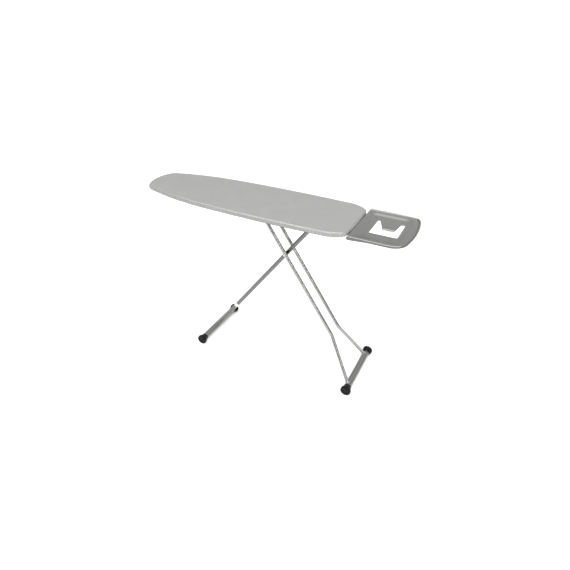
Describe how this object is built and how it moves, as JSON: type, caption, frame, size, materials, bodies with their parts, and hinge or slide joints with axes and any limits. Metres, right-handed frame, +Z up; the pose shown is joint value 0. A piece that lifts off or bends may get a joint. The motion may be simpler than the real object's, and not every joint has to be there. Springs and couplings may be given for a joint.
{
  "type": "ironing board",
  "caption": "Folding ironing board: long padded top with a rounded nose, scissor tube legs on flared foot bars, and an iron tray with a cut-out at the wide end.",
  "frame": {"origin": "on the floor under the middle of the whole object's outline, cover nose to tray end", "axes": "+X along the board from the nose to the iron tray, +Y across towards the side of the release lever, +Z up"},
  "size_m": [1.428, 0.3802, 0.9],
  "materials": {
    "cover_fabric": "fine woven, silver-coated",
    "foam": "open-cell foam",
    "mesh_steel": "powder coat",
    "frame_paint": "silver powder coat",
    "leg_paint": "smooth silver paint",
    "foot_paint": "satin silver-grey paint",
    "tray_paint": "satin silver paint on pressed sheet",
    "zinc_steel": "zinc plated",
    "black_plastic": "moulded, fine grain",
    "nylon": "moulded nylon",
    "pale_plastic": "smooth moulded"
  },
  "bodies": {
    "board": {"cover": "cover_fabric", "foam_pad": "foam", "board_panel": "mesh_steel", "board_rim": "mesh_steel", "cross_brace_front": "frame_paint", "cross_brace_middle": "frame_paint", "cross_brace_rear": "frame_paint", "rail_near": "frame_paint", "rail_far": "frame_paint", "leg_hinge_bracket": "frame_paint", "leg_hinge_pin": "zinc_steel", "leg_hinge_clip": "zinc_steel", "bracket_bolts": "zinc_steel", "iron_tray": "tray_paint", "tray_arm_near": "frame_paint", "tray_arm_far": "frame_paint", "tray_arm_bolts": "zinc_steel", "tray_rivets": "zinc_steel"},
    "height_catch": {"catch_plate_near": "zinc_steel", "catch_plate_far": "zinc_steel", "catch_shaft": "zinc_steel", "catch_shaft_clips": "zinc_steel", "catch_tie_rod": "zinc_steel", "catch_spring": "zinc_steel", "release_lever": "zinc_steel", "lever_grip": "black_plastic"},
    "inner_leg": {"inner_leg_tube": "leg_paint", "inner_leg_sleeve": "leg_paint", "leg_band": "pale_plastic", "inner_foot_bar": "foot_paint", "inner_foot_cap_near": "black_plastic", "inner_foot_cap_far": "black_plastic", "pivot_spacer_near": "black_plastic", "pivot_spacer_far": "black_plastic"},
    "outer_legs": {"outer_leg_near": "leg_paint", "outer_leg_far": "leg_paint", "outer_foot_bar": "foot_paint", "outer_foot_cap_near": "black_plastic", "outer_foot_cap_far": "black_plastic", "pivot_bolt": "zinc_steel", "pivot_nut": "zinc_steel", "slide_axle_near": "zinc_steel", "slide_axle_far": "zinc_steel", "slide_bush_near": "nylon", "slide_bush_far": "nylon", "slide_axle_clips": "zinc_steel"}
  },
  "joints": [
    {"name": "leg_fold", "type": "hinge", "parent": "board", "child": "inner_leg", "pos_m": [0.24555, 0, 0.853], "axis": [0, 1, 0], "range_deg": [0, 53]},
    {"name": "cross_pivot", "type": "hinge", "parent": "inner_leg", "child": "outer_legs", "pos_m": [0.098, 0, 0.655], "axis": [0, 1, 0], "range_deg": [-109, 0]},
    {"name": "catch_release", "type": "hinge", "parent": "board", "child": "height_catch", "pos_m": [-0.33, 0, 0.87], "axis": [0, -1, 0], "range_deg": [-3.1, 0], "stiffness_Nm_per_rad": 1.5, "springref_deg": -17.19}
  ],
  "couplings": [
    {"joint": "cross_pivot", "follows": "leg_fold", "ratio": -2.043}
  ]
}
